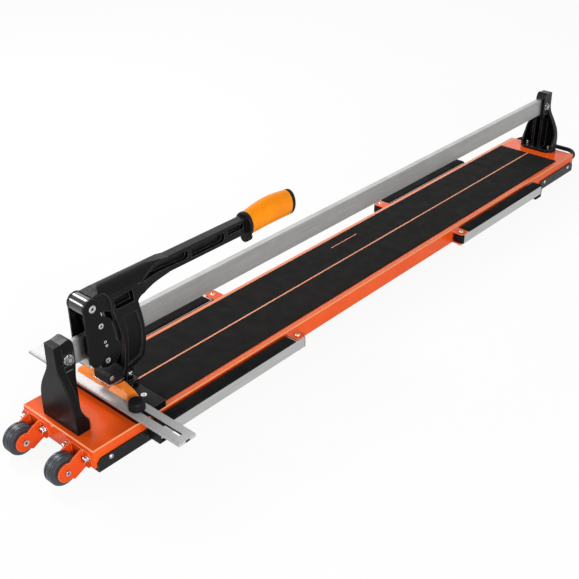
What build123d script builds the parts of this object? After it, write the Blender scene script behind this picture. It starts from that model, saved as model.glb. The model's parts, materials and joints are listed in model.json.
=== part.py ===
from build123d import *
import math
import os

os.makedirs("parts", exist_ok=True)

# Frame while modelling: x across the bed with the cutting line at 0, y rearward from the
# front edge of the bed, z up, with the soles of the rubber feet at ground_z. Millimetres.
# Every piece is shifted when saved, so that the whole stands on z = 0, centred on the origin.

# Clearances
bolt_gap = 0.2          # round a fixed bolt
running_gap = 0.05      # radial, round a turning pin
slide_gap = 0.4         # between pieces that move past each other

ground_z = -3.2

# Bed
bed_width = 176.0
bed_length = 1516.0
bed_half = bed_width / 2
bed_top = 51.3
skirt_bottom = 18.5
sheet = 2.0
bend = 3.0
brace_depth = 26.0
brace_length = 34.0
brace_gap = 1.5         # between the ends of a brace and the skirts
front_brace = 245.0     # middle of the foremost brace, from the front end
rear_brace = 246.0      # and of the rearmost one, from the rear end
mat_margin = 11.8       # bed showing beside the mats
mat_end_gap = 72.5      # and behind them
mat_half = bed_half - mat_margin
mat_end = bed_length - mat_end_gap
mat_thick = 2.0
mat_corner = 1.2
centre_gap = 1.5        # half the gap between the mats
rib_half = 1.3
rib_height = 2.7
slit_x = 50.4           # of the slit in the left mat
slit_front = 725.0
slit_back = 810.0
slit_width = 2.4

# Rail and towers
rail_width = 12.0
rail_half = rail_width / 2
rail_edge = 0.8
rail_gap = 0.1          # in the towers, round the ends of the rail
rail_bottom = 147.2
rail_top = 187.1
rail_inset = 16.0       # from each end of the bed
tower_face = 8.0        # outer face, from the end of the bed
tower_depth = 24.0      # of the flared shield at its foot
tower_rim = 13.0        # and from the waist upward
tower_waist = (66.0, 92.0)
tower_wall = 4.0
tower_edge = 1.5
tower_back = 42.8       # inner edge of the ribs
tower_rib_back = 39.6   # the same at their foot
tower_half = 12.0       # outer faces of the two ribs
tower_top = 197.3
tower_flare = [(43.0, 75.0), (38.2, 108.0), (27.0, 131.0), (17.2, 148.0), (13.0, 165.0)]
tower_brow = [(34.0, 200.0), (40.0, 196.0), (tower_back, 187.0), (tower_back, 158.0),
              (tower_rib_back, 131.0)]
flange_half = 37.4
flange_back = 42.0
flange_corner = 8.0
flange_top = 58.3
rail_seat = 7.0         # web of the tower under the rail
tower_bolt = (29.0, 21.0)
rail_bolt = (30.8, 166.0)
rail_bolt_r = 4.0
rail_bolt_recess = 1.0
rail_bolt_pad = (9.5, 10.5)     # half sizes of the recess along y and z
rail_washer_r = 8.5
rail_washer = 1.5
rail_bolt_flats = 13.0
rail_bolt_head = 4.5

# Hex bolts of the tower feet and the wheel forks
hex_bolt_r = 3.0
hex_flats = 9.0
hex_head = 5.5
hex_nut = 5.0
hex_thread = 3.0        # past the nut
hex_edge = 0.6
washer_r = 5.6
washer_thick = 1.2

# Carrying bail
bail_r = 5.25
bail_wall = 1.5
bail_half = bed_half    # at the corners
bail_root_inset = 22.0  # each leg leans in by this
bail_overhang = 40.0    # behind the bed
bail_reach = bed_length + bail_overhang
bail_z = 44.0
bail_bend = 26.0
bail_end_inset = 46.76  # where the legs end, from the rear end of the bed
bail_end_z = 23.7
bail_hole_gap = 0.6     # in the rear skirt
clamp_half = 8.0
clamp_length = 14.0

# Foot bars and rubber feet
foot_bar_length = 167.0
foot_bar_inset = 5.0
foot_bar_sheet = 3.0
foot_bar_bottom = 10.0
foot_bar_top = 33.0
foot_bar_corner = 7.0
foot_tongue = 60.0
foot_inset = 32.0       # of the feet, from the sides of the bed
foot_x = bed_half - foot_inset
foot_from_end = 30.0
foot_r = 10.0
foot_taper = 1.0
foot_stem_r = 4.0
foot_button_r = 6.0
foot_button = 2.5
foot_core_r = 3.0
foot_core = 6.0
foot_screw_inset = 25.0
foot_screw_z = 26.0
foot_screw_r = 2.4
foot_screw_head_r = 4.4
foot_screw_head = 2.4
foot_screw_flats = 7.0
foot_screw_nut = 3.0

# Swing-out supports
arm_gap = 18.5          # from the side of the bed to the pivots
arm_x = bed_half + arm_gap
front_pivot = 440.0     # from the front end of the bed
rear_pivot = 546.0      # from the rear end
front_arm = 338.0       # length from pivot to tip
rear_arm = 330.0
arm_pivots = {"front": front_pivot, "rear": bed_length - rear_pivot}
arm_reach = {"front": front_arm, "rear": rear_arm}
arm_width = 25.0
arm_corner = 2.0
arm_wall = 1.5
arm_bottom = 26.0
arm_top = 47.0
arm_tail = 5.0
arm_pad_start = 16.0
arm_pad_top = 51.0
arm_pad_slope = 4.0
arm_pad_inset = 1.5
cap_sheet = 4.0
cap_foot = 24.0
cap_bottom = 19.5
cap_sole = 3.0
plug_depth = 14.0
plug_wall = 2.5
tail_plate = 1.5        # of the plug in the end beside the pivot
tail_plug = 1.5
upper_bracket = (12.0, 11.0)    # half length, reach past the pivot
lower_bracket = (10.0, 8.0)
bracket_corner = 6.0
bracket_sheet = 2.0
bracket_gap = 0.3
pivot_screw_r = 3.0
pivot_head_r = 5.0
pivot_head = 3.2
pivot_socket_r = 2.2
pivot_socket = 1.6
pivot_nut_flats = 10.0
pivot_nut = 5.0

# Transport wheels
wheel_inset = 35.4      # from the side of the bed to the middle of a wheel
wheel_x = bed_half - wheel_inset
axle_y = -34.8
wheel_r = 25.2
wheel_width = 23.0
wheel_lift = 0.6        # the wheels clear the ground while the feet stand on it
axle_z = ground_z + wheel_r + wheel_lift
axle_r = 3.0
axle_nut = 8.0
hub_r = 13.0
hub_bore_end = 11.9     # half width of the hub at its bore
hub_dish = 9.5
tyre_wall = 10.8
tyre_groove = 0.8
tyre_groove_x = 4.2
tyre_groove_width = 1.2
axle_head_r = 5.0
axle_head = 2.8
ear_gap = 1.0
ear_sheet = 3.0
ear_r = 16.0
ear_neck = [(0.0, 48.0), (-5.0, 48.0), (-26.0, 39.0), (axle_y, axle_z), (-40.0, 11.0), (-29.0, 7.5),
            (-23.0, 3.5), (0.0, 14.0)]
fork_flange = 4.0
fork_outline = [(34.5, 38.0), (27.0, 48.0), (-27.0, 48.0), (-34.5, 38.0), (-34.5, 27.0), (-26.0, 17.0),
                (26.0, 17.0), (34.5, 27.0)]
fork_corner = 3.0
fork_bolt_x = 24.8
fork_bolt_z = 35.8

# Fence, ruler and angle stop
fence_margin = 1.0
fence_half = bed_half - fence_margin
fence_front = 85.5
fence_back = 147.0
fence_rib_top = 65.6
fence_bar_top = 63.5
fence_web_top = 58.0
fence_rib_back = 112.0
fence_bar_front = 122.0
fence_edge = 1.0
fence_wall = 4.0
fence_ribs = (-41.0, 0.0, 41.0)
fence_boss = 11.0       # solid end of the fence, from the stud inward
fence_screws_x = (16.0, 50.7)
fence_screw_y = 133.0
fence_mat_gap = 0.5
screw_r = 2.5
screw_head_r = 5.0
screw_sink = 2.6
screw_socket_r = 2.0
screw_socket = 1.6
screw_flats = 8.0
screw_nut = 4.0
screw_thread = 3.0
knob_inset = 10.0       # of the clamp stud, from the right end of the fence
knob_x = fence_half - knob_inset
knob_r = 13.5
knob_height = 15.0
knob_crown = 5.0
knob_ribs = 14
knob_rib_r = 1.3
stud_r = 3.0
stud_foot = 3.0         # of the stud above the bed
ruler_left = -181.0
ruler_right = 190.0
ruler_front = 80.0
ruler_back = 115.0
ruler_thick = 4.6
ruler_corner = 1.5
ruler_z = fence_rib_top + slide_gap
ruler_top = ruler_z + ruler_thick
slot_y = 97.5
slot_half = 3.4
slot_lead = 16.0        # from the left end of the slot to the stud
slot_margin = 14.0      # from its right end to the end of the ruler
stop_left = -71.0
stop_right = 56.0
stop_notch = (-13.0, 8.0)
stop_back = 119.5
stop_top = 78.0
stop_toe = 98.0
stop_slope = 102.0      # where the left half reaches its top
stop_corner = 4.0
stop_crest = (112.0, 87.0)
stop_wing = [(8.0, 76.5), (22.7, 84.5), (47.0, 77.5), (56.0, 70.5)]
stop_bridge = (99.0, 110.0)
stop_bridge_thick = 2.2

# Carriage
pivot = (77.0, 236.0)
plate_outer = 20.0
plate_sheet = 3.0
plate_round = 0.9       # of its outer edges
plate_inner = plate_outer - plate_sheet
link_inner = plate_inner - plate_sheet
lobe_r = 15.5
pivot_r = 5.0
pivot_head_width = 6.2  # radius of the pin's flat head
pivot_pin_head = 2.0
pivot_pin_flats = 13.0
pivot_pin_nut = 5.0
top_axle = (89.0, 200.5)
top_roller_r = 13.0
bottom_axle = (96.8, 133.4)
bottom_roller_r = 13.4
roller_half = 9.0
roller_edge = 0.8
roller_side_gap = 0.5
roller_axle_r = 3.2
axle_shoulder_r = 7.0
axle_flat_r = 4.7
axle_flat = 1.6
axle_flats = 9.0
axle_hex = 4.0
guide_screws = [(93.6, 170.0), (95.6, 162.3)]
guide_screw_r = 1.6
guide_head_r = 2.4
guide_head = 1.2
guide_thread = 4.0
side_shoe = (88.0, 103.0, 155.0, 177.0)         # y and z limits
front_shoe = (64.5, 79.0, 134.0)                # y limits and foot
barrel_r = 15.0
barrel_half = 16.5
barrel_edge = 1.0
plate_outline = [(62.4, 143.0), (62.4, 236.0), (77.0, 236.0), (92.0, 224.0), (93.6, 215.7),
                 (108.5, 205.5), (116.0, 168.0), (99.8, 164.6), (90.0, 141.0), (80.0, 132.0), (70.0, 132.0)]
link_outline = [(86.0, 178.0), (102.0, 178.0), (115.6, 165.0), (123.0, 155.0), (124.0, 145.0),
                (121.6, 133.6), (113.0, 123.0), (96.8, 119.5), (85.0, 124.0), (81.5, 134.0), (83.0, 150.0)]
link_corner = 2.0

# Lever
nose_half = 16.4
root_half = 20.0
rim = [(97.0, 258.0), (112.5, 238.0), (113.5, 226.0), (117.5, 207.0)]     # front edge of the broad part
arm_half = 9.0
arm_round = 1.2
lever_top = 253.8
lever_bottom = 225.0
lever_end = 419.0
crown_top = 258.0
crown_edge = 243.0
root_end = 240.0        # where the broad root has become the arm
root_rear = 178.0       # where its sides begin to close
root_waist = (13.5, 203.0)      # half width, y
root_upper = [(84.0, 222.0), (80.0, 250.5), (95.0, 252.5), (98.0, 257.0), (104.0, 258.0), (196.0, 258.0),
              (222.0, 256.3)]
root_lower = [(222.0, 223.8), (203.0, 222.3), (184.0, 220.3), (172.0, 217.5), (166.0, 213.0),
              (163.0, 207.0), (118.0, 207.0), (116.0, 214.0), (100.0, 219.0)]
cheek_front = [(116.5, 212.0), (122.0, 188.0), (127.0, 166.0), (130.0, 140.0), (128.0, 120.0),
               (124.0, 98.0)]
cheek_sole = (148.0, 99.0)
cheek_rear = [(166.0, 108.0), (171.0, 124.0), (173.0, 145.0), (172.0, 167.0), (168.0, 192.0),
              (164.0, 213.0)]
web_front = [(133.0, 196.0), (138.0, 153.0), (135.0, 122.0), (131.5, 106.0)]
web_rear = [(159.0, 113.0), (166.0, 145.0), (165.0, 167.0), (159.0, 196.0)]
web_depth = 3.0
window_outline = [(117.5, 235.0), (154.5, 235.0), (157.5, 214.0), (121.5, 214.0)]
window_corner = 1.5
window_depth = 11.0
scoops = [[(166.0, 239.5), (185.0, 243.0), (203.0, 248.0), (222.0, 249.5), (282.0, 249.0),
           (282.0, 232.5)],
          [(289.0, 231.5), (289.0, 249.0), (365.0, 249.0), (365.0, 231.0)],
          [(373.5, 238.5), (373.5, 248.5), (411.0, 248.5), (411.0, 238.0)]]
scoop_rounds = (7.0, 7.0, 4.0)
scoop_web = 3.0         # left between the scoops of both sides
lever_yoke = (150.0, 104.0)     # rear edge and top of the block between the cheeks
lug_outline = [(130.0, 100.0), (129.0, 88.0), (133.0, 78.5), (142.0, 78.5), (146.0, 88.0), (147.0, 100.0)]
lug_corner = 2.0
cheek_inner = 10.0
tang_r = 8.5
tang_z = 240.0
collar_length = 8.0
collar_radii = (23.5, 19.5)     # half height, half width
collar_z = 238.0
lobe_y = (1.0, 15.0)            # of the finger guard, from the end of the lever arm
guard_lobe_r = 9.0
guard_lobe_z = 213.5
grip_start = lever_end + collar_length
grip_length = 103.0
grip_sections = [(0.0, 21.8, 17.8, 238.5), (0.25, 24.0, 18.8, 242.0), (0.5, 25.2, 19.4, 243.8),
                 (0.75, 25.2, 18.6, 243.4), (1.0, 24.3, 16.8, 241.3)]
                        # share of the length, half height, half width, centre height
grip_end = grip_start + grip_length
grip_cap_length = 12.0
grip_cap_wall = 5.0
grip_cap_edge = 7.0
collar_edge = 2.5
lobe_edge = 2.0
tang_root = 6.0         # of the tang inside the lever arm

# Scoring and breaking tools under the lever
wheel_centre = (125.5, 76.0)
cutter_r = 11.0
cutter_half = 1.0
cutter_bevel = 1.6
cutter_axle_r = 2.5
cutter_axle_half = 6.5
cutter_gap = 0.7
cutter_clear = 1.2      # round the rim of the cutter
head_fork_half = 5.0
head_fork = [(116.0, 84.0), (117.0, 70.0), (130.5, 70.0), (130.5, 82.8), (123.5, 82.8), (123.5, 84.0)]
head_edge = 5.0
head_front = 93.0
head_back = 123.5
head_half = 17.5
head_bottom = 88.0
head_top = 107.0
guard_half = 20.5
guard_front = 95.6
guard_sheet = 2.0
guard_corner = 3.0
guard_notch = (112.0, 5.5)      # front edge and half width of the notch round the cutter
foot_pivot = (137.5, 85.0)
foot_pin_r = 3.0
foot_pin_head_r = 4.6
foot_pin_head = 2.0
lug_half = 11.0
foot_gap = 0.4          # between the lug and the ears of the foot
foot_ear = 3.0
foot_ear_r = 6.0
foot_ear_outline = [(130.5, 68.0), (144.5, 68.0), (143.5, 85.0), (131.5, 85.0)]
foot_half = root_half
foot_corner = 4.0
foot_inner = 6.5        # half the gap between its two wings
foot_front = 121.5
foot_back = 151.2
foot_bridge = 142.0     # front edge of the strip that joins the wings
foot_bridge_inset = 4.0
sole_bottom = 65.0
sole_top = 68.0
sole_inset = 1.0
sole_inner = 8.0
foot_plate_top = 71.0

# The whole reaches from end to end of the ruler and from the wheels to the back of the bail
mid_x = (ruler_left + ruler_right) / 2
mid_y = (axle_y - wheel_r + bail_reach) / 2


def save(name, shape):
    """Write one node, moved to its place in the shared frame."""
    export_step(Pos(-mid_x, -mid_y, -ground_z) * shape, f"parts/{name}.step")


def group(shapes):
    """Separate solids kept in one node."""
    return Compound(children=list(shapes))


def block(x0, x1, y0, y1, z0, z1):
    """Box between the given limits."""
    return Pos((x0 + x1) / 2, (y0 + y1) / 2, (z0 + z1) / 2) * Box(x1 - x0, y1 - y0, z1 - z0)


def rod_x(radius, x0, x1, at):
    """Cylinder along x at (y, z)."""
    return Pos((x0 + x1) / 2, at[0], at[1]) * Rot(0, 90, 0) * Cylinder(radius, x1 - x0)


def rod_y(radius, x, y0, y1, z):
    """Cylinder along y."""
    return Pos(x, (y0 + y1) / 2, z) * Rot(90, 0, 0) * Cylinder(radius, y1 - y0)


def rod_z(radius, x, y, z0, z1):
    """Cylinder along z."""
    return Pos(x, y, (z0 + z1) / 2) * Cylinder(radius, z1 - z0)


def face_of(points):
    """Flat face with straight edges through the points."""
    return make_face(Polyline(*points, close=True))


def across(face, x0, x1):
    """Face drawn in (y, z), given thickness along x."""
    return extrude(Plane.YZ.offset(x0) * face, amount=x1 - x0, dir=(1, 0, 0))


def along(face, y0, y1):
    """Face drawn in (x, z), given thickness along y."""
    return extrude(Plane.XZ.offset(-y0) * face, amount=y1 - y0, dir=(0, 1, 0))


def upward(face, z0, z1):
    """Face drawn in (x, y), given thickness along z."""
    return extrude(Plane.XY.offset(z0) * face, amount=z1 - z0, dir=(0, 0, 1))


def left(shape):
    """Mirror image across the cutting line."""
    return mirror(shape, about=Plane.YZ)


def rear(shape):
    """Mirror image across the middle of the bed."""
    return mirror(shape, about=Plane.XZ.offset(-bed_length / 2))


def four_corners(shape):
    """Right front piece repeated at all four corners of the bed."""
    front_pair = [shape, left(shape)]
    return front_pair + [rear(piece) for piece in front_pair]


def hexagon(flats, height):
    """Hexagonal prism standing on z = 0."""
    return extrude(RegularPolygon(flats / math.sqrt(3), 6), amount=height, dir=(0, 0, 1))


def hex_bolt(grip):
    """Hex bolt, washer and nut clamping what lies between z = 0 and z = -grip."""
    head = Pos(0, 0, washer_thick) * hexagon(hex_flats, hex_head)
    head = chamfer(head.edges().group_by(Axis.Z)[-1], hex_edge)
    washer = rod_z(washer_r, 0, 0, 0, washer_thick)
    shank = rod_z(hex_bolt_r, 0, 0, -grip - hex_nut - hex_thread, washer_thick)
    nut = Pos(0, 0, -grip - hex_nut) * hexagon(hex_flats, hex_nut)
    return head + washer + shank + nut


def dome_head(radius, height):
    """Spherical cap standing on z = 0."""
    ball = (radius ** 2 + height ** 2) / (2 * height)
    halfway = math.asin(radius / ball) / 2
    arc = ThreePointArc((radius, 0), (ball * math.sin(halfway), height - ball + ball * math.cos(halfway)),
                        (0, height))
    profile = make_face([Line((0, 0), (radius, 0)), arc, Line((0, height), (0, 0))])
    return revolve(Plane.XZ * profile, axis=Axis.Z)


def hex_x(flats, x0, x1, at):
    """Hexagonal prism along x at (y, z)."""
    return Pos(x0, *at) * Rot(0, 90, 0) * hexagon(flats, x1 - x0)


# ---- Hex bolts: tower feet and wheel forks ----
tower_grip = flange_top - bed_top + sheet
fork_grip = fork_flange + sheet
tower_bolt_places = [Pos(side * tower_bolt[0], y, flange_top)
                     for side in (-1, 1)
                     for y in (tower_bolt[1], bed_length - tower_bolt[1])]
fork_bolt_places = [Pos(side * wheel_x + wing * fork_bolt_x, -fork_flange, fork_bolt_z) * Rot(90, 0, 0)
                    for side in (-1, 1) for wing in (-1, 1)]
save("hex_bolts", group([place * hex_bolt(tower_grip) for place in tower_bolt_places]
                        + [place * hex_bolt(fork_grip) for place in fork_bolt_places]))
bolt_hole = Cylinder(hex_bolt_r + bolt_gap, 4 * tower_grip)

# ---- Carrying bail: a U of tube leaning down into the rear skirt ----
bail_run = bail_reach - bail_r - (bed_length - bail_end_inset)
bail_drop = bail_z - bail_end_z
bail_leg = math.hypot(bail_run, bail_drop)
bail_plane = Plane(origin=(0, bail_reach - bail_r, bail_z), x_dir=(1, 0, 0),
                   z_dir=(0, bail_drop / bail_leg, -bail_run / bail_leg))
bail_root = bail_half - bail_root_inset
bail_path = bail_plane * FilletPolyline((-bail_root, bail_leg), (-bail_half, 0), (bail_half, 0),
                                        (bail_root, bail_leg), radius=bail_bend)
bail_start = Plane(origin=bail_path @ 0, z_dir=bail_path % 0)


def bail(outer, inner=0.0):
    """Bar or tube swept along the bail."""
    ring = Circle(outer)
    if inner:
        ring = ring - Circle(inner)
    return sweep(bail_start * ring, path=bail_path)


save("rear_handle", bail(bail_r, bail_r - bail_wall))
bail_bar = bail(bail_r)
leg_end = bail_path @ 1
clamp = block(leg_end.X - clamp_half, leg_end.X + clamp_half, leg_end.Y - clamp_length / 2,
              leg_end.Y + clamp_length / 2, skirt_bottom, bed_top - sheet) - bail_bar
save("handle_clamps", group([clamp, left(clamp)]))

# ---- Bed ----
bed = block(-bed_half, bed_half, 0, bed_length, skirt_bottom, bed_top)
bed = fillet(bed.edges().filter_by(Axis.Z) + bed.edges().group_by(Axis.Z)[-1], bend)
inside = block(-bed_half + sheet, bed_half - sheet, sheet, bed_length - sheet,
               ground_z - skirt_bottom, bed_top - sheet)
inside = fillet(inside.edges().filter_by(Axis.Z) + inside.edges().group_by(Axis.Z)[-1], bend - sheet)
bed -= inside
bed -= [place * bolt_hole for place in tower_bolt_places + fork_bolt_places]
bed -= bail(bail_r + bail_hole_gap)
foot_bar_end = foot_bar_inset + foot_bar_length
foot_screw_ys = (foot_bar_inset + foot_screw_inset, foot_bar_end - foot_screw_inset)
foot_screw_holes = [rod_x(foot_screw_r + bolt_gap, bed_half - bend - sheet, bed_half + 2 * foot_bar_sheet,
                          (y, foot_screw_z)) for y in foot_screw_ys]
for hole in foot_screw_holes:
    bed -= four_corners(hole)
fence_screw_places = [Pos(side * x, fence_screw_y, fence_bar_top)
                      for side in (-1, 1) for x in fence_screws_x]
fence_screw_hole = Cylinder(screw_r + bolt_gap, 2 * fence_bar_top - 2 * bed_top + 4 * sheet)
bed -= [place * fence_screw_hole for place in fence_screw_places]
save("base_channel", bed)

brace_half = bed_half - sheet - brace_gap
brace = block(-brace_half, brace_half, 0, brace_length, bed_top - sheet - brace_depth, bed_top - sheet)
brace -= block(-brace_half, brace_half, sheet, brace_length - sheet,
               bed_top - sheet - brace_depth, bed_top - 2 * sheet)
middle_brace = sum(arm_pivots.values()) / 2
brace_ys = (front_brace, *arm_pivots.values(), middle_brace, bed_length - rear_brace)
save("cross_braces", group([Pos(0, y - brace_length / 2, 0) * brace for y in brace_ys]))

mat_front = fence_back + fence_mat_gap
save("breaking_rib", block(-rib_half, rib_half, mat_front, mat_end, bed_top, bed_top + rib_height))
mat = block(centre_gap, mat_half, mat_front, mat_end, bed_top, bed_top + mat_thick)
mat = fillet(mat.edges().filter_by(Axis.Z), mat_corner)
slit = block(-slit_x - slit_width / 2, -slit_x + slit_width / 2, slit_front, slit_back,
             bed_top, bed_top + mat_thick)
save("bed_mats", group([mat, left(mat) - slit]))

# ---- Rail and its towers ----
rail = block(-rail_half, rail_half, rail_inset, bed_length - rail_inset, rail_bottom, rail_top)
rail = chamfer(rail.edges().filter_by(Axis.Y), rail_edge)
rail_bolt_hole = rod_x(rail_bolt_r + bolt_gap, -flange_half, flange_half, rail_bolt)
save("rail", rail - rail_bolt_hole - rear(rail_bolt_hole))


def flare(inset, foot, head):
    """Flared face of a tower, drawn in (x, z), its sides taken in by inset."""
    curve = [(half - inset, z) for half, z in tower_flare]
    right = [Line((curve[0][0], foot), curve[0]),
             Spline(*curve, tangents=[(0, 1), (-0.1, 1)]),
             Line(curve[-1], (tower_half - inset, head))]
    mirrored = [edge.mirror(Plane.YZ) for edge in right]
    closing = [Line((-tower_half + inset, head), (tower_half - inset, head)),
               Line((-curve[0][0], foot), (curve[0][0], foot))]
    return make_face(right + mirrored + closing)


shield = along(flare(0, bed_top, tower_top), tower_face, tower_face + tower_depth)
shield = fillet(shield.faces().sort_by(Axis.Y)[0].edges(), tower_edge)
rim_back = tower_face + tower_rim
shield_back = tower_face + tower_depth
lean = face_of([(tower_face, bed_top), (tower_face, tower_top), (rim_back, tower_top),
                (rim_back, tower_waist[1]), (shield_back, tower_waist[0]), (shield_back, bed_top)])
shield &= across(lean, -bed_half, bed_half)
pocket_curve = [(half - tower_wall, z) for half, z in tower_flare[:4]]
side_pocket = make_face([Line((tower_half, flange_top), (pocket_curve[0][0], flange_top)),
                         Line((pocket_curve[0][0], flange_top), pocket_curve[0]),
                         Spline(*pocket_curve, tangents=[(0, 1), (-0.4, 1)]),
                         Line(pocket_curve[-1], (tower_half, pocket_curve[-1][1] + 2)),
                         Line((tower_half, pocket_curve[-1][1] + 2), (tower_half, flange_top))])
side_pocket = along(side_pocket, tower_face + tower_wall, tower_back)
column_front = tower_face + tower_edge
column = face_of([(column_front, bed_top), (column_front, tower_top - 2 * tower_edge),
                  (column_front + 2 * tower_edge, tower_top - tower_edge), *tower_brow,
                  (tower_rib_back, bed_top)])
column = fillet(column.vertices().filter_by_position(Axis.Y, tower_waist[1], 2 * tower_top), tower_edge)
column = across(column, -tower_half, tower_half)
flange = block(-flange_half, flange_half, column_front, flange_back, bed_top, flange_top)
flange = chamfer(flange.edges().filter_by(Axis.Z).group_by(Axis.Y)[-1], flange_corner)
tower = shield - side_pocket - left(side_pocket) + column + flange
tower -= block(-rail_half - rail_gap, rail_half + rail_gap, rail_inset - rail_gap, 2 * tower_back,
               rail_bottom - rail_gap, rail_top + rail_gap)
tower -= block(-rail_half, rail_half, tower_face + tower_wall, 2 * tower_back, flange_top,
               rail_bottom - rail_seat)
tower -= [place * bolt_hole for place in tower_bolt_places]
tower -= rail_bolt_hole
recess = block(tower_half - rail_bolt_recess, flange_half, rail_bolt[0] - rail_bolt_pad[0],
               rail_bolt[0] + rail_bolt_pad[0], rail_bolt[1] - rail_bolt_pad[1],
               rail_bolt[1] + rail_bolt_pad[1])
tower -= recess
tower -= left(recess)
save("front_tower", tower)
save("rear_tower", rear(tower))

washer_x = tower_half - rail_bolt_recess
rail_head_x = washer_x + rail_washer
half_bolt = rod_x(rail_washer_r, washer_x, rail_head_x, rail_bolt)
half_bolt += hex_x(rail_bolt_flats, rail_head_x, rail_head_x + rail_bolt_head, rail_bolt)
rail_bolt_set = half_bolt + left(half_bolt) + rod_x(rail_bolt_r, -rail_head_x, rail_head_x, rail_bolt)
save("rail_bolts", group([rail_bolt_set, rear(rail_bolt_set)]))

# ---- Foot bars, their screws and the rubber feet ----
foot_bar = block(bed_half, bed_half + foot_bar_sheet, foot_bar_inset, foot_bar_end,
                 foot_bar_bottom, foot_bar_top)
foot_bar = chamfer(foot_bar.edges().filter_by(Axis.X).group_by(Axis.Z)[-1], foot_bar_corner)
tongue_x = foot_x - foot_r - foot_bar_sheet
foot_bar += block(tongue_x, bed_half + foot_bar_sheet, foot_bar_inset, foot_bar_inset + foot_tongue,
                  foot_bar_bottom, foot_bar_bottom + foot_bar_sheet)
foot_y = foot_bar_inset + foot_from_end
foot_bar -= rod_z(foot_stem_r + bolt_gap, foot_x, foot_y, ground_z, foot_bar_top)
foot_bar -= foot_screw_holes
save("foot_brackets", group(four_corners(foot_bar)))

tongue_top = foot_bar_bottom + foot_bar_sheet
foot_height = foot_bar_bottom - ground_z
rubber = Pos(foot_x, foot_y, ground_z + foot_height / 2) * Cone(foot_r - foot_taper, foot_r, foot_height)
rubber += rod_z(foot_stem_r, foot_x, foot_y, foot_bar_bottom, tongue_top)
rubber += rod_z(foot_button_r, foot_x, foot_y, tongue_top, tongue_top + foot_button)
rubber -= rod_z(foot_core_r, foot_x, foot_y, ground_z, ground_z + foot_core)
save("foot_pads", group(four_corners(rubber)))

foot_screws = []
screw_seat = bed_half + foot_bar_sheet
nut_seat = bed_half - sheet
for screw_y in foot_screw_ys:
    at = (screw_y, foot_screw_z)
    foot_screw = rod_x(foot_screw_r, nut_seat - foot_screw_nut, screw_seat, at)
    foot_screw += hex_x(foot_screw_flats, nut_seat - foot_screw_nut, nut_seat, at)
    foot_screw += Pos(screw_seat, *at) * Rot(0, 90, 0) * dome_head(foot_screw_head_r, foot_screw_head)
    foot_screws += four_corners(foot_screw)
save("foot_screws", group(foot_screws))

# ---- Swing-out supports ----
# One support lies along +y from its pivot; the front pair is turned half round.
def bracket_plate(half_length, tip):
    """Flat plate of a bracket round its pivot, drawn from the side of the bed outward."""
    plate = Pos((tip - arm_gap) / 2, 0) * Rectangle(tip + arm_gap, 2 * half_length)
    return fillet(plate.vertices().group_by(Axis.X)[-1], bracket_corner)


upper_z = arm_top + bracket_gap
lower_z = arm_bottom - bracket_gap
bracket = upward(bracket_plate(*upper_bracket), upper_z, upper_z + bracket_sheet)
bracket += upward(bracket_plate(*lower_bracket), lower_z - bracket_sheet, lower_z)
bracket += block(-arm_gap, -arm_gap + bracket_sheet, -lower_bracket[0], lower_bracket[0],
                 lower_z - bracket_sheet, upper_z + bracket_sheet)
bracket -= rod_z(pivot_screw_r + bolt_gap, 0, 0, ground_z, bed_top)
screw_top = upper_z + bracket_sheet
pivot_screw = rod_z(pivot_screw_r, 0, 0, lower_z - bracket_sheet - pivot_nut, screw_top)
pivot_screw += Pos(0, 0, screw_top) * dome_head(pivot_head_r, pivot_head)
pivot_screw -= rod_z(pivot_socket_r, 0, 0, screw_top + pivot_head - pivot_socket, screw_top + pivot_head)
pivot_screw += Pos(0, 0, lower_z - bracket_sheet - pivot_nut) * hexagon(pivot_nut_flats, pivot_nut)


def support(reach):
    """Tube, top pad and end cap of one support."""
    tube_end = reach - cap_sheet
    tube = block(-arm_width / 2, arm_width / 2, -arm_tail, tube_end, arm_bottom, arm_top)
    tube = fillet(tube.edges().filter_by(Axis.Y), arm_corner)
    bore = block(-arm_width / 2 + arm_wall, arm_width / 2 - arm_wall, -arm_tail, tube_end,
                 arm_bottom + arm_wall, arm_top - arm_wall)
    tube -= bore
    tube -= rod_z(pivot_screw_r + running_gap, 0, 0, ground_z, bed_top)
    pad_half = arm_width / 2 - arm_pad_inset
    pad = across(face_of([(arm_pad_start, arm_top), (reach, arm_top),
                          (reach - arm_pad_slope, arm_pad_top),
                          (arm_pad_start + arm_pad_slope, arm_pad_top)]), -pad_half, pad_half)
    pad = fillet(pad.edges().filter_by(Axis.Y).group_by(Axis.Z)[-1], 1)
    cap = across(face_of([(reach, cap_bottom), (reach, arm_top), (tube_end, arm_top),
                          (tube_end, cap_bottom + cap_sole), (reach - cap_foot, cap_bottom + cap_sole),
                          (reach - cap_foot, cap_bottom)]), -arm_width / 2, arm_width / 2)
    plug = bore & block(-arm_width, arm_width, tube_end - plug_depth, tube_end, arm_bottom, arm_top)
    hollow = arm_wall + plug_wall
    plug -= block(-arm_width / 2 + hollow, arm_width / 2 - hollow, tube_end - plug_depth,
                  tube_end - plug_wall, arm_bottom + hollow, arm_top - hollow)
    tail = block(-arm_width / 2, arm_width / 2, -arm_tail - tail_plate, -arm_tail, arm_bottom, arm_top)
    tail = fillet(tail.edges().filter_by(Axis.Y), arm_corner)
    stub = bore & block(-arm_width, arm_width, -arm_tail, -arm_tail + tail_plug, arm_bottom, arm_top)
    return tube, pad, group([cap + plug, tail + stub])


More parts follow.
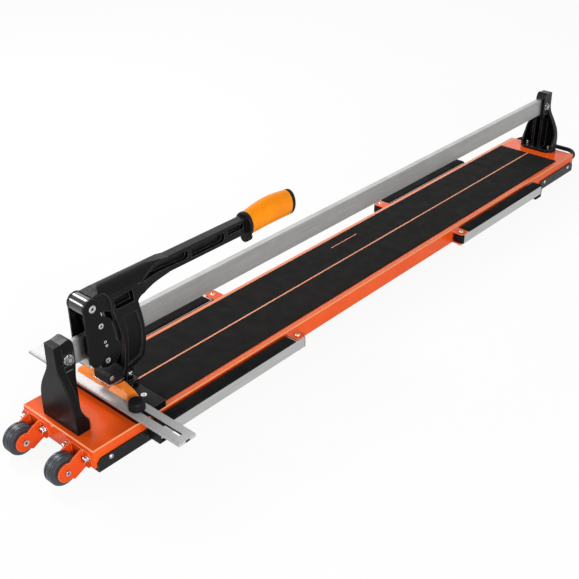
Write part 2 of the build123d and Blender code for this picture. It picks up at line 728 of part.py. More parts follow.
brackets = []
pivot_screws = []
for end, pivot_y in arm_pivots.items():
    tube, pad, cap = support(arm_reach[end])
    turn = Rot(0, 0, 180 if end == "front" else 0)
    right_place = Pos(arm_x, pivot_y, 0)
    brackets += [right_place * bracket, left(right_place * bracket)]
    pivot_screws += [right_place * pivot_screw, left(right_place * pivot_screw)]
    for side in ("left", "right"):
        place = Pos(arm_x if side == "right" else -arm_x, pivot_y, 0) * turn
        save(f"arm_tube_{end}_{side}", place * tube)
        save(f"arm_pad_{end}_{side}", place * pad)
        save(f"arm_cap_{end}_{side}", place * cap)
save("arm_brackets", group(brackets))
save("arm_pivot_screws", group(pivot_screws))

# ---- Transport wheels ----
axle = (axle_y, axle_z)
ear_in = wheel_width / 2 + ear_gap
ear_out = ear_in + ear_sheet
ear_face = face_of(ear_neck) + Pos(*axle) * Circle(ear_r)
ear = across(ear_face, ear_in, ear_out) - rod_x(axle_r + bolt_gap, 0, 2 * ear_out, axle)
wing_face = fillet(face_of(fork_outline).vertices(), fork_corner)
fork = along(wing_face, -fork_flange, 0) + ear + left(ear)
forks = [Pos(side * wheel_x, 0, 0) * fork for side in (-1, 1)]
save("wheel_forks", group([piece - [place * bolt_hole for place in fork_bolt_places] for piece in forks]))

bore_r = axle_r + running_gap
hub_profile = face_of([(bore_r, 0), (bore_r, hub_bore_end), (bore_r + 4, hub_bore_end),
                       (bore_r + 4.5, hub_dish), (hub_r - 2, hub_dish), (hub_r, tyre_wall), (hub_r, 0)])
tyre_profile = face_of([(hub_r, 0), (hub_r, tyre_wall), (hub_r + 2, wheel_width / 2),
                        (wheel_r - 4.5, wheel_width / 2), (wheel_r - 1.2, wheel_width / 2 - 1.5),
                        (wheel_r, wheel_width / 2 - 4), (wheel_r, 0)])


def wheel_part(profile, side):
    """Half profile in (radius, x) turned and mirrored on one wheel axle."""
    half = revolve(Plane.XZ * profile, axis=Axis.Z)
    half = Rot(0, 90, 0) * half
    return Pos(side * wheel_x, axle_y, axle_z) * (half + left(half))


groove = Cylinder(wheel_r + 1, tyre_groove_width) - Cylinder(wheel_r - tyre_groove, tyre_groove_width)
groove = Pos(0, 0, tyre_groove_x) * groove + Pos(0, 0, -tyre_groove_x) * groove
groove = Rot(0, 90, 0) * groove
wheel_axle = rod_x(axle_r, -ear_out, ear_out, axle)
wheel_axle += rod_x(axle_head_r, -ear_out - axle_head, -ear_out, axle)
wheel_axle += hex_x(axle_nut, ear_out, ear_out + axle_head, axle)
for side, name in ((-1, "left"), (1, "right")):
    save(f"wheel_hub_{name}", wheel_part(hub_profile, side))
    save(f"wheel_tyre_{name}", wheel_part(tyre_profile, side) - Pos(side * wheel_x, *axle) * groove)
save("wheel_axles", group([Pos(wheel_x, 0, 0) * wheel_axle, left(Pos(wheel_x, 0, 0) * wheel_axle)]))

# ---- Fence, ruler, clamp knob and angle stop ----
fence = across(face_of([(fence_front, bed_top), (fence_front, fence_rib_top),
                        (fence_rib_back, fence_rib_top), (fence_rib_back, fence_web_top),
                        (fence_bar_front, fence_web_top),
                        (fence_bar_front, fence_bar_top), (fence_back, fence_bar_top),
                        (fence_back, bed_top)]), -fence_half, fence_half)
fence = fillet(fence.edges().filter_by(Axis.Z) + fence.edges().group_by(Axis.Z)[-1], fence_edge)
bay_lefts = [-fence_half + fence_wall, *[x + fence_wall / 2 for x in fence_ribs]]
bay_rights = [*[x - fence_wall / 2 for x in fence_ribs], knob_x - fence_boss]
for x0, x1 in zip(bay_lefts, bay_rights):
    fence -= block(x0, x1, fence_front + fence_wall, fence_rib_back - fence_wall,
                   bed_top, fence_rib_top - fence_wall)
fence -= rod_z(stud_r + running_gap, knob_x, slot_y, bed_top, 2 * fence_rib_top)
fence -= [place * fence_screw_hole for place in fence_screw_places]
sink = Cone(screw_r + bolt_gap, screw_head_r + 2 * bolt_gap, screw_sink + bolt_gap)
countersink = Pos(0, 0, (bolt_gap - screw_sink) / 2) * sink
fence -= [place * countersink for place in fence_screw_places]
save("fence_bar", fence)

fence_screw = Pos(0, 0, -screw_sink / 2) * Cone(screw_r, screw_head_r, screw_sink)
nut_z = bed_top - sheet - screw_nut - fence_bar_top
fence_screw += rod_z(screw_r, 0, 0, nut_z - screw_thread, 0)
fence_screw += Pos(0, 0, nut_z) * hexagon(screw_flats, screw_nut)
fence_screw -= rod_z(screw_socket_r, 0, 0, -screw_socket, screw_sink)
save("fence_screws", group([place * fence_screw for place in fence_screw_places]))

ruler = block(ruler_left, ruler_right, ruler_front, ruler_back, ruler_z, ruler_top)
ruler = fillet(ruler.edges().filter_by(Axis.Z), ruler_corner)
slot_left = knob_x - slot_lead
slot_right = ruler_right - slot_margin
slot = SlotOverall(slot_right - slot_left, 2 * slot_half)
slot = Pos((slot_left + slot_right) / 2, slot_y, ruler_z) * slot
ruler -= extrude(slot, amount=ruler_thick, dir=(0, 0, 1))
save("ruler", ruler)

knob_z = ruler_top + slide_gap
knob = rod_z(knob_r, knob_x, slot_y, knob_z, knob_z + knob_height)
knob = fillet(knob.edges().group_by(Axis.Z)[-1], knob_crown)
for i in range(knob_ribs):
    turn = 2 * math.pi * i / knob_ribs
    flute_r = knob_r + knob_rib_r / 2
    knob -= rod_z(knob_rib_r, knob_x + flute_r * math.cos(turn), slot_y + flute_r * math.sin(turn),
                  knob_z + 2 * knob_rib_r, knob_z + knob_height - knob_crown)
knob += rod_z(stud_r, knob_x, slot_y, bed_top + stud_foot, knob_z)
save("fence_knob", knob)

stop_z = ruler_top + slide_gap
skirt_y = ruler_back + slide_gap
stop_foot = [(stop_back, fence_web_top), (skirt_y, fence_web_top), (skirt_y, stop_z)]
left_face = face_of([(stop_toe, stop_z), (stop_slope, stop_top), (stop_back, stop_top), *stop_foot])
left_half = across(left_face, stop_left, stop_notch[0])
outer_corner = left_half.edges().filter_by(Axis.Y).group_by(Axis.X)[0].group_by(Axis.Z)[-1]
left_half = fillet(outer_corner, stop_corner)
wedge = across(face_of([(stop_toe, stop_z), stop_crest, (stop_back, stop_crest[1]), *stop_foot]),
               stop_notch[1], stop_right)
wing_outline = along(face_of([(stop_notch[1], fence_web_top), *stop_wing, (stop_right, fence_web_top)]),
                     ruler_front, fence_back)
bridge = block(*stop_notch, *stop_bridge, stop_z, stop_z + stop_bridge_thick)
save("angle_stop", left_half + (wedge & wing_outline) + bridge)

# ---- Carriage ----
plate_face = face_of(plate_outline) + Pos(*pivot) * Circle(lobe_r)
plate = across(plate_face, plate_inner, plate_outer)
plate = fillet(plate.faces().sort_by(Axis.X)[-1].edges(), plate_round)
plate -= rod_x(pivot_r + bolt_gap, 0, 2 * plate_outer, pivot)
plate -= rod_x(roller_axle_r + bolt_gap, 0, 2 * plate_outer, top_axle)
screw_holes = [rod_x(guide_screw_r + bolt_gap, 0, 2 * plate_outer, at) for at in guide_screws]
plate -= screw_holes
save("carriage_plate_right", plate)
save("carriage_plate_left", left(plate))

link_face = fillet(face_of(link_outline).vertices(), link_corner)
link = across(link_face, link_inner, plate_inner)
link -= rod_x(roller_axle_r + bolt_gap, 0, 2 * plate_outer, bottom_axle)
link -= screw_holes
save("link_plates", group([link, left(link)]))

shoe = block(rail_half + slide_gap, link_inner, *side_shoe)
shoe -= screw_holes
lower_shoe = block(-plate_inner, plate_inner, *front_shoe, rail_bottom - slide_gap)
save("guide_shoes", group([shoe, left(shoe), lower_shoe]))

guide_set = []
for at in guide_screws:
    screw = rod_x(guide_screw_r, link_inner - guide_thread, plate_outer, at)
    screw += rod_x(guide_head_r, plate_outer, plate_outer + guide_head, at)
    guide_set += [screw, left(screw)]
save("guide_screws", group(guide_set))

pin = rod_x(pivot_r, -plate_outer - pivot_pin_nut, plate_outer, pivot)
pin += rod_x(pivot_head_width, plate_outer, plate_outer + pivot_pin_head, pivot)
pin += hex_x(pivot_pin_flats, -plate_outer - pivot_pin_nut, -plate_outer, pivot)
save("pivot_pin", pin)


def roller_axle(at, inner_face):
    """Shouldered bolt carrying a roller between two plates."""
    outer_face = inner_face + plate_sheet
    body = rod_x(roller_axle_r, -outer_face - axle_hex, outer_face, at)
    for side in (-1, 1):
        shoulder = sorted((side * (roller_half + roller_side_gap), side * inner_face))
        body += rod_x(axle_shoulder_r, *shoulder, at)
    body += rod_x(axle_flat_r, outer_face, outer_face + axle_flat, at)
    body += hex_x(axle_flats, -outer_face - axle_hex, -outer_face, at)
    return body


save("roller_axles", group([roller_axle(top_axle, plate_inner), roller_axle(bottom_axle, link_inner)]))


def roller(at, radius):
    """Grooved steel roller."""
    body = rod_x(radius, -roller_half, roller_half, at)
    body = chamfer(body.edges().filter_by(GeomType.CIRCLE), roller_edge)
    return body - rod_x(roller_axle_r + running_gap, -plate_outer, plate_outer, at)


save("top_roller", roller(top_axle, top_roller_r))
save("bottom_roller", roller(bottom_axle, bottom_roller_r))

# ---- Lever ----
barrel = rod_x(barrel_r, -barrel_half, barrel_half, pivot)
barrel = chamfer(barrel.edges().filter_by(GeomType.CIRCLE), barrel_edge)
save("pivot_barrel", barrel - rod_x(pivot_r + running_gap, -root_half, root_half, pivot))

nose_y = root_upper[0][0]
plan = [(nose_half, nose_y), (nose_half, rim[0][0]), (root_half, rim[0][0]), (root_half, root_rear)]
taper = Spline(plan[-1], root_waist, (arm_half, root_end), tangents=[(-0.25, 1), (-0.12, 1)])
plan_edges = [Line(*ends) for ends in zip(plan, plan[1:])] + [taper]
plan_edges += [edge.mirror(Plane.YZ) for edge in plan_edges]
plan_edges += [Line((-nose_half, nose_y), (nose_half, nose_y)),
               Line((-arm_half, root_end), (arm_half, root_end))]
root_foot = root_lower[-4][1]
root_plan = upward(make_face(plan_edges), root_foot, crown_top)
crown = make_face([Line((-root_half, root_foot), (root_half, root_foot)),
                   Line((root_half, root_foot), (root_half, crown_edge)),
                   ThreePointArc((root_half, crown_edge), (0, crown_top), (-root_half, crown_edge)),
                   Line((-root_half, crown_edge), (-root_half, root_foot))])
crown = along(crown, 0, root_end)
root_outline = [*root_upper, (root_end, lever_top), (root_end, lever_bottom), *root_lower]
root = root_plan & crown & across(face_of(root_outline), -root_half, root_half)

arm = block(-arm_half, arm_half, root_upper[-1][0], lever_end, lever_bottom, lever_top)
arm = fillet(arm.edges().filter_by(Axis.Y), arm_round)
cheek_face = make_face([Spline(*cheek_front), Line(cheek_front[-1], cheek_sole),
                        Line(cheek_sole, cheek_rear[0]), Spline(*cheek_rear),
                        Line(cheek_rear[-1], cheek_front[0])])
cheek = across(cheek_face, cheek_inner, root_half)
web = make_face([Spline(*web_front), Line(web_front[-1], web_rear[0]), Spline(*web_rear),
                 Line(web_rear[-1], web_front[0])])
window = fillet(face_of(window_outline).vertices(), window_corner)
before_rim = face_of([(0, crown_top), *rim, (0, root_foot)])
side_cuts = [across(web, root_half - web_depth, 2 * root_half),
             across(window, root_half - window_depth, 2 * root_half),
             across(before_rim, nose_half, 2 * root_half)]
for outline, scoop_round in zip(scoops, scoop_rounds):
    scoop = face_of(outline)
    scoop = fillet(scoop.vertices().group_by(Axis.X)[-1], scoop_round)
    side_cuts.append(across(scoop, scoop_web / 2, 2 * root_half))
lever = root + arm + cheek + left(cheek)
for cut in side_cuts:
    lever -= cut
    lever -= left(cut)
lever += block(-cheek_inner, cheek_inner, head_back, lever_yoke[0], foot_pivot[1] - foot_pin_r + 1,
               lever_yoke[1])
lever += across(fillet(face_of(lug_outline).vertices(), lug_corner), -lug_half, lug_half)
lever -= rod_x(barrel_r, -2 * root_half, 2 * root_half, pivot)
lever -= rod_x(foot_pin_r + bolt_gap, -2 * root_half, 2 * root_half, foot_pivot)
lever -= rod_x(cutter_r + cutter_clear, -cutter_half - cutter_gap, cutter_half + cutter_gap, wheel_centre)
tang_end = grip_end + grip_cap_length - grip_cap_wall
tang = rod_y(tang_r, 0, lever_end - tang_root, tang_end, tang_z)
save("lever", lever + tang)


def oval(half_height, half_width, y, z):
    """Upright ellipse across the lever."""
    return Plane(origin=(0, y, z), x_dir=(0, 0, 1), z_dir=(0, 1, 0)) * Ellipse(half_height, half_width)


grip = loft([oval(high, wide, grip_start + share * grip_length, z)
             for share, high, wide, z in grip_sections])
collar = extrude(oval(*collar_radii, lever_end, collar_z), amount=collar_length)
collar = fillet(collar.edges(), collar_edge)
guard_lobe = rod_y(guard_lobe_r, 0, lever_end + lobe_y[0], lever_end + lobe_y[1], guard_lobe_z)
guard_lobe = fillet(guard_lobe.edges(), lobe_edge)
save("finger_guard", collar + guard_lobe - grip - tang)
save("grip", grip - tang)
last_share, *last_oval, last_z = grip_sections[-1]
grip_cap = extrude(oval(*last_oval, grip_end, last_z), amount=grip_cap_length)
grip_cap = fillet(grip_cap.edges().group_by(Axis.Y)[-1], grip_cap_edge)
save("grip_cap", grip_cap - tang)

# ---- Scoring and breaking tools ----
head = block(-head_half, head_half, head_front, head_back, head_bottom, head_top)
head = chamfer(head.edges().filter_by(Axis.X).group_by(Axis.Y)[0].group_by(Axis.Z)[-1], head_edge)
head += block(-head_fork_half, head_fork_half, head_fork[0][0], head_back, head_fork[3][1], head_bottom)
head += across(face_of(head_fork), -head_fork_half, head_fork_half)
head -= rod_x(cutter_r + cutter_clear, -cutter_half - cutter_gap, cutter_half + cutter_gap, wheel_centre)
head -= rod_x(cutter_axle_r + bolt_gap, -head_half, head_half, wheel_centre)
save("scoring_head", head)
guard_plate = block(-guard_half, guard_half, guard_front, head_back - guard_sheet / 2,
                    head_bottom - guard_sheet, head_bottom)
guard_plate -= block(-guard_notch[1], guard_notch[1], guard_notch[0], head_back, 0, head_bottom)
save("guard_plate", fillet(guard_plate.edges().filter_by(Axis.Z).group_by(Axis.Y)[0], guard_corner))

save("cutter_axle", rod_x(cutter_axle_r, -cutter_axle_half, cutter_axle_half, wheel_centre))
bevel = cutter_r - cutter_bevel
cutter = revolve(Plane.XZ * face_of([(cutter_axle_r + running_gap, -cutter_half),
                                     (bevel, -cutter_half), (cutter_r, 0), (bevel, cutter_half),
                                     (cutter_axle_r + running_gap, cutter_half)]), axis=Axis.Z)
save("cutter_wheel", Pos(0, *wheel_centre) * Rot(0, 90, 0) * cutter)

foot_wing = block(foot_inner, foot_half, foot_front, foot_back, sole_top, foot_plate_top)
foot_wing = fillet(foot_wing.edges().filter_by(Axis.Z).group_by(Axis.X)[-1], foot_corner)
foot_ear_face = Pos(*foot_pivot) * Circle(foot_ear_r) + face_of(foot_ear_outline)
ear_x = lug_half + foot_gap
foot_side = across(foot_ear_face, ear_x, ear_x + foot_ear)
foot_right = foot_wing + foot_side - rod_x(foot_pin_r + running_gap, 0, foot_half, foot_pivot)
bridge_half = foot_half - foot_bridge_inset
foot_strip = block(-bridge_half, bridge_half, foot_bridge, foot_back, sole_top, foot_plate_top)
save("breaker_foot", foot_right + left(foot_right) + foot_strip)
sole = block(sole_inner, foot_half - sole_inset, foot_front + sole_inset, foot_back - sole_inset,
             sole_bottom, sole_top)
save("breaker_soles", group([sole, left(sole)]))
pin_seat = ear_x + foot_ear + foot_gap
foot_pin = rod_x(foot_pin_r, -pin_seat, pin_seat, foot_pivot)
pin_head = rod_x(foot_pin_head_r, pin_seat, pin_seat + foot_pin_head, foot_pivot)
save("foot_pin", foot_pin + pin_head + left(pin_head))
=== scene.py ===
import json
import math

import bmesh
import bpy
from mathutils import Matrix, Vector


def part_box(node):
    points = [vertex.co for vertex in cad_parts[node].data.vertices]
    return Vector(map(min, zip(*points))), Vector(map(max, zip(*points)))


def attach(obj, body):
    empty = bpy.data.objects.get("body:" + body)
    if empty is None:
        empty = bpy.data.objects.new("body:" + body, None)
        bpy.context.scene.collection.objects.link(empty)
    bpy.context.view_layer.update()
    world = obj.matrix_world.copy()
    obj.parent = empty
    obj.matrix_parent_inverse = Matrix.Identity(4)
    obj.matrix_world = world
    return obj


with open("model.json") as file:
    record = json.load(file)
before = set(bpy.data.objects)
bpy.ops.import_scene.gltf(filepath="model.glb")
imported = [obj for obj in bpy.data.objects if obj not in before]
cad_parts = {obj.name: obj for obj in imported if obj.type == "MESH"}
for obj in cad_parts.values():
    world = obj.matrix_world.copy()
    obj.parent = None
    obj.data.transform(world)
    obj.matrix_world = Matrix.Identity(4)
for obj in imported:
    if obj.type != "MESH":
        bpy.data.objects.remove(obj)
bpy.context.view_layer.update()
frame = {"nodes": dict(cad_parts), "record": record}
nodes = frame["nodes"]
MM = 0.001

# Sides of the turned fittings
HEXAGON = 6
ROUND = 24
WIDE_ROUND = 32

BARE_EDGE = (0.85, 0.85, 0.86)  # metal polished along its edges


# ---- Materials: small node chains round one Principled shader ----
class Finish:
    """One procedural material. Sizes are in metres on the object."""

    def __init__(self, name, metallic=0.0, roughness=0.5, coat=0.0, specular=0.5):
        self.material = bpy.data.materials.new(name)
        self.material.use_nodes = True
        self.tree = self.material.node_tree
        self.shader = self.tree.nodes["Principled BSDF"]
        self.shader.inputs["Metallic"].default_value = metallic
        self.shader.inputs["Roughness"].default_value = roughness
        self.shader.inputs["Coat Weight"].default_value = coat
        self.shader.inputs["Coat Roughness"].default_value = 0.15
        self.shader.inputs["Specular IOR Level"].default_value = specular
        self.place = self.node("ShaderNodeTexCoord").outputs["Object"]
        self.normal = None

    def node(self, kind, **settings):
        made = self.tree.nodes.new(kind)
        for key, value in settings.items():
            setattr(made, key, value)
        return made

    def feed(self, socket, value):
        """Links a node's output, or writes a constant, into a socket."""
        if isinstance(value, bpy.types.NodeSocket):
            self.tree.links.new(value, socket)
        elif isinstance(value, (tuple, list)) and len(value) == 3 and socket.type == "RGBA":
            socket.default_value = (*value, 1)
        else:
            socket.default_value = value

    def noise(self, size, stretch=(1, 1, 1), detail=3.0, roughness=0.5):
        """Blotches about size across, drawn out by stretch along each axis."""
        mapping = self.node("ShaderNodeMapping")
        mapping.inputs["Scale"].default_value = [1 / (size * factor) for factor in stretch]
        self.feed(mapping.inputs["Vector"], self.place)
        noise = self.node("ShaderNodeTexNoise")
        noise.inputs["Scale"].default_value = 1
        noise.inputs["Detail"].default_value = detail
        noise.inputs["Roughness"].default_value = roughness
        self.feed(noise.inputs["Vector"], mapping.outputs["Vector"])
        return noise.outputs["Fac"]

    def cells(self, size):
        """Distance to the middle of small irregular cells."""
        voronoi = self.node("ShaderNodeTexVoronoi")
        voronoi.inputs["Scale"].default_value = 1 / size
        self.feed(voronoi.inputs["Vector"], self.place)
        return voronoi.outputs["Distance"]

    def spread(self, value, low, high, to_low=0.0, to_high=1.0):
        """Maps low..high onto to_low..to_high and holds it there."""
        remap = self.node("ShaderNodeMapRange")
        self.feed(remap.inputs["Value"], value)
        limits = {"From Min": low, "From Max": high, "To Min": to_low, "To Max": to_high}
        for name, limit in limits.items():
            remap.inputs[name].default_value = limit
        return remap.outputs["Result"]

    def combine(self, operation, first, second=0.0):
        """One step of arithmetic on one or two values."""
        step = self.node("ShaderNodeMath", operation=operation)
        self.feed(step.inputs[0], first)
        self.feed(step.inputs[1], second)
        return step.outputs["Value"]

    def times(self, first, second):
        """Product of two values."""
        return self.combine("MULTIPLY", first, second)

    def axis(self, index, vector=None):
        """One coordinate of a vector, or of the place on the object."""
        split = self.node("ShaderNodeSeparateXYZ")
        self.feed(split.inputs["Vector"], vector or self.place)
        return split.outputs[index]

    def blend(self, factor, first, second):
        """Colour between first and second."""
        mixer = self.node("ShaderNodeMix", data_type="RGBA")
        share, first_colour, second_colour = mixer.inputs[0], mixer.inputs[6], mixer.inputs[7]
        self.feed(share, factor)
        self.feed(first_colour, first)
        self.feed(second_colour, second)
        mixed_colour = mixer.outputs[2]
        return mixed_colour

    def soften(self, radius):
        """Rounds hard edges over radius; returns how near an edge each place is, 0 to 1."""
        bevel = self.node("ShaderNodeBevel", samples=4)
        bevel.inputs["Radius"].default_value = radius
        self.normal = bevel.outputs["Normal"]
        facing = self.node("ShaderNodeVectorMath", operation="DOT_PRODUCT")
        self.feed(facing.inputs[0], bevel.outputs["Normal"])
        self.feed(facing.inputs[1], self.node("ShaderNodeNewGeometry").outputs["Normal"])
        flat = 0.995
        turned = 0.8
        return self.spread(facing.outputs["Value"], flat, turned)

    def bump(self, height, depth, strength=1.0):
        """Raises the surface by height times depth."""
        bump = self.node("ShaderNodeBump")
        bump.inputs["Distance"].default_value = depth
        bump.inputs["Strength"].default_value = strength
        self.feed(bump.inputs["Height"], height)
        if self.normal is not None:
            self.feed(bump.inputs["Normal"], self.normal)
        self.normal = bump.outputs["Normal"]

    def done(self, colour, roughness):
        """Connects the colour, roughness and surface, and returns the material."""
        self.feed(self.shader.inputs["Base Color"], colour)
        self.feed(self.shader.inputs["Roughness"], roughness)
        if self.normal is not None:
            self.feed(self.shader.inputs["Normal"], self.normal)
        return self.material


def pale_lips_and_bend_highlight(paint, tone, low, high, dust_and_highlight):
    """Paler paint on the lips beside the mats, which lie between low and high, and a painted highlight
    along the bends of the sheet.
    """
    upper = paint.spread(paint.axis(2), high.z - 3.5 * MM, high.z - 2.5 * MM)
    beside_mats = paint.spread(paint.axis(1), low.y - 20 * MM, low.y)
    left = paint.spread(paint.axis(0), low.x - 1 * MM, low.x, 0.75, 0)
    right = paint.spread(paint.axis(0), high.x, high.x + 1 * MM, 0, 0.3)
    patchy = paint.spread(paint.noise(14 * MM, detail=5), 0.2, 0.55, 0.7, 1)
    lips = paint.times(paint.combine("ADD", left, right), paint.times(upper, beside_mats))
    tone = paint.blend(paint.times(lips, patchy), tone, (0.82, 0.33, 0.17))
    # Painted highlight: where the normal lies between up and outward, on the bends of the sheet.
    slope = paint.axis(2, paint.node("ShaderNodeNewGeometry").outputs["Normal"])
    bend_highlight = paint.times(paint.spread(slope, 0.25, 0.45), paint.spread(slope, 0.86, 0.96, 1, 0))
    return paint.blend(paint.times(bend_highlight, 0.6), tone, dust_and_highlight)


def enamel(name, bright, deep, dust_and_highlight=(1.0, 0.56, 0.30), mats=None):
    """Glossy baked enamel: drifting tone, orange-peel skin, hairline scuffs and a painted highlight along
    its edges.

    The bed's own enamel is given the two corners of its mats, and is paler beside them too.
    """
    paint = Finish(name, specular=0.12)
    edge = paint.soften(1.2 * MM)
    tone = paint.blend(paint.spread(paint.noise(110 * MM, detail=2), 0.35, 0.65), deep, bright)
    dust = paint.spread(paint.noise(3 * MM, detail=6, roughness=0.7), 0.60, 0.80, 0, 0.08)
    tone = paint.blend(dust, tone, dust_and_highlight)
    if mats:
        tone = pale_lips_and_bend_highlight(paint, tone, *mats, dust_and_highlight)
    scuff = paint.spread(paint.noise(1.2 * MM, stretch=(1, 30, 1), detail=4), 0.68, 0.78)
    patchy = paint.spread(paint.noise(9 * MM, detail=5), 0.2, 0.5, 0.5, 1.0)
    # Painted highlight: the edges are paled towards the pale colour that also tints the dust.
    tone = paint.blend(paint.times(edge, patchy), tone, dust_and_highlight)
    rough = paint.spread(paint.noise(30 * MM, detail=4), 0.3, 0.7, 0.16, 0.24)
    rough = paint.combine("ADD", rough, paint.times(scuff, 0.16))
    paint.bump(paint.noise(1.6 * MM, detail=2), 0.03 * MM)
    paint.bump(scuff, 0.01 * MM, strength=0.5)
    return paint.done(tone, rough)


def casting(name, dark, light, pale_tone, rough=(0.30, 0.44), grain=0.05, gloss=0.14, coat=0.0):
    """Powder-coated die casting with pale specks and a painted highlight along its edges. The pebbles of
    its coat are grain mm deep.
    """
    powder = Finish(name, coat=coat, specular=gloss)
    edge = powder.soften(1.1 * MM)
    tone = powder.blend(powder.spread(powder.noise(35 * MM, detail=4), 0.3, 0.7), dark, light)
    speck = powder.spread(powder.noise(1.4 * MM, detail=5, roughness=0.7), 0.62, 0.78, 0, 0.12)
    tone = powder.blend(speck, tone, pale_tone)
    patchy = powder.spread(powder.noise(6 * MM, detail=5), 0.25, 0.55, 0.35, 0.9)
    # Painted highlight: the edges are paled.
    tone = powder.blend(powder.times(edge, patchy), tone, pale_tone)
    powder.bump(powder.cells(1.1 * MM), grain * MM)
    powder.bump(powder.noise(14 * MM, detail=2), 0.04 * MM)
    return powder.done(tone, powder.spread(powder.noise(12 * MM, detail=5), 0.3, 0.7, *rough))


def brushed(name, tone, dull, stretch, rough=(0.26, 0.42)):
    """Bare metal with lines drawn out by stretch along each axis, mill streaks and handling dirt."""
    metal = Finish(name, metallic=1.0)
    edge = metal.soften(0.5 * MM)
    lines = metal.noise(0.5 * MM, stretch=stretch, detail=6, roughness=0.65)
    shorter = [factor ** 0.75 for factor in stretch]
    streaks = metal.noise(2.2 * MM, stretch=shorter, detail=4, roughness=0.6)
    grit = metal.noise(1.3 * MM, detail=3, roughness=0.8)
    colour = metal.blend(metal.spread(lines, 0.3, 0.7), dull, tone)
    streak_tone = [0.62 * part for part in dull]
    colour = metal.blend(metal.spread(streaks, 0.42, 0.62, 0, 0.30), colour, streak_tone)
    grit_tone = [0.7 * part for part in dull]
    colour = metal.blend(metal.spread(grit, 0.45, 0.7, 0, 0.4), colour, grit_tone)
    smudge = metal.spread(metal.noise(45 * MM, detail=5, roughness=0.6), 0.45, 0.75, 0, 0.35)
    colour = metal.blend(smudge, colour, dull)
    colour = metal.blend(metal.times(edge, 0.6), colour, BARE_EDGE)
    line_roughness = metal.spread(lines, 0.25, 0.75, *rough)
    metal.bump(lines, 0.02 * MM)
    metal.bump(streaks, 0.03 * MM)
    return metal.done(colour, metal.combine("ADD", line_roughness, metal.times(smudge, 0.25)))


def plated(name, tone, dull, rough=(0.22, 0.42)):
    """Zinc-plated or ground steel fittings: cloudy plating, fine pits, bright edges."""
    metal = Finish(name, metallic=1.0)
    edge = metal.soften(0.4 * MM)
    cloud = metal.spread(metal.noise(5 * MM, detail=5, roughness=0.6), 0.3, 0.7)
    colour = metal.blend(cloud, dull, tone)
    colour = metal.blend(metal.times(edge, 0.6), colour, (0.92, 0.92, 0.93))
    metal.bump(metal.noise(0.5 * MM, detail=4), 0.02 * MM)
    return metal.done(colour, metal.spread(metal.noise(2.5 * MM, detail=4), 0.3, 0.7, *rough))


def rubber(name, dark, light, grain_size, grain_depth, rough=(0.62, 0.82), sheen=0.0):
    """Soft rubber: mottled bloom over a pebbled skin."""
    skin = Finish(name, specular=0.04)
    skin.shader.inputs["Sheen Weight"].default_value = sheen
    skin.soften(0.6 * MM)
    bloom = skin.spread(skin.noise(60 * MM, detail=5, roughness=0.6), 0.32, 0.68)
    colour = skin.blend(bloom, dark, light)
    lint = skin.spread(skin.noise(1.1 * MM, detail=4, roughness=0.7), 0.66, 0.80, 0, 0.4)
    colour = skin.blend(lint, colour, [2.2 * part for part in light])
    skin.bump(skin.cells(grain_size), grain_depth)
    skin.bump(skin.noise(grain_size * 0.6, detail=3), grain_depth * 0.5)
    return skin.done(colour, skin.spread(skin.noise(20 * MM, detail=4), 0.3, 0.7, *rough))


def moulded(name, tone, deep, pale_tone, rough=(0.36, 0.52), grain=0.02, coat=0.0, gloss=0.12):
    """Injection-moulded plastic with slightly paler edges. Its faint texture is grain mm deep."""
    plastic = Finish(name, coat=coat, specular=gloss)
    edge = plastic.soften(0.7 * MM)
    colour = plastic.blend(plastic.spread(plastic.noise(25 * MM, detail=3), 0.3, 0.7), deep, tone)
    colour = plastic.blend(plastic.times(edge, 0.3), colour, pale_tone)
    plastic.bump(plastic.noise(0.7 * MM, detail=4), grain * MM)
    return plastic.done(colour, plastic.spread(plastic.noise(9 * MM, detail=4), 0.3, 0.7, *rough))


def scale_marks(metal, along, inward):
    """1 on the marks of a millimetre scale; along and inward are distances from its corner."""
    marks = None
    for pitch, width, length in ((1, 0.22, 3), (5, 0.3, 5), (10, 0.4, 7)):
        share = metal.combine("FRACT", metal.combine("DIVIDE", along, pitch * MM))
        from_mark = metal.combine("ABSOLUTE", metal.combine("SUBTRACT", share, 0.5))
        near = metal.spread(from_mark, 0.5 * width / pitch, 0.6 * width / pitch, 1, 0)
        within = metal.spread(inward, length * MM, (length + 0.2) * MM, 1, 0)
        tick = metal.times(near, within)
        marks = tick if marks is None else metal.combine("MAXIMUM", marks, tick)
    return marks


def graduated(name, tone, dull, ink, low, high):
    """The ruler: brushed metal with a plain scale along its front edge, and painted shade on the walls of
    its slot.
    """
    metal = Finish(name, metallic=0.5, specular=0.2)
    edge = metal.soften(0.5 * MM)
    lines = metal.noise(0.5 * MM, stretch=(160, 1, 1), detail=6, roughness=0.65)
    colour = metal.blend(metal.spread(lines, 0.3, 0.7), dull, tone)
    grit = metal.spread(metal.noise(1.4 * MM, detail=3, roughness=0.8), 0.45, 0.7, 0, 0.3)
    colour = metal.blend(grit, colour, [0.7 * part for part in dull])
    along = metal.combine("SUBTRACT", metal.axis(0), low.x)
    inward = metal.combine("SUBTRACT", metal.axis(1), low.y)
    marks = scale_marks(metal, along, inward)
    colour = metal.blend(metal.times(marks, 0.45), colour, ink)
    colour = metal.blend(metal.times(edge, 0.5), colour, BARE_EDGE)
    # Painted shade: the walls of the slot are darkened.
    from_middle = metal.combine("ABSOLUTE", metal.combine("SUBTRACT", inward, (high.y - low.y) / 2))
    in_slot = metal.spread(from_middle, 4.0 * MM, 4.2 * MM, 1, 0)
    below_top = metal.spread(metal.axis(2), high.z - 0.3 * MM, high.z - 0.1 * MM, 1, 0)
    colour = metal.blend(metal.times(in_slot, below_top), colour, (0.02, 0.02, 0.02))
    metal.bump(lines, 0.015 * MM)
    metal.bump(metal.times(marks, -1.0), 0.05 * MM)
    return metal.done(colour, metal.spread(lines, 0.25, 0.75, 0.44, 0.58))


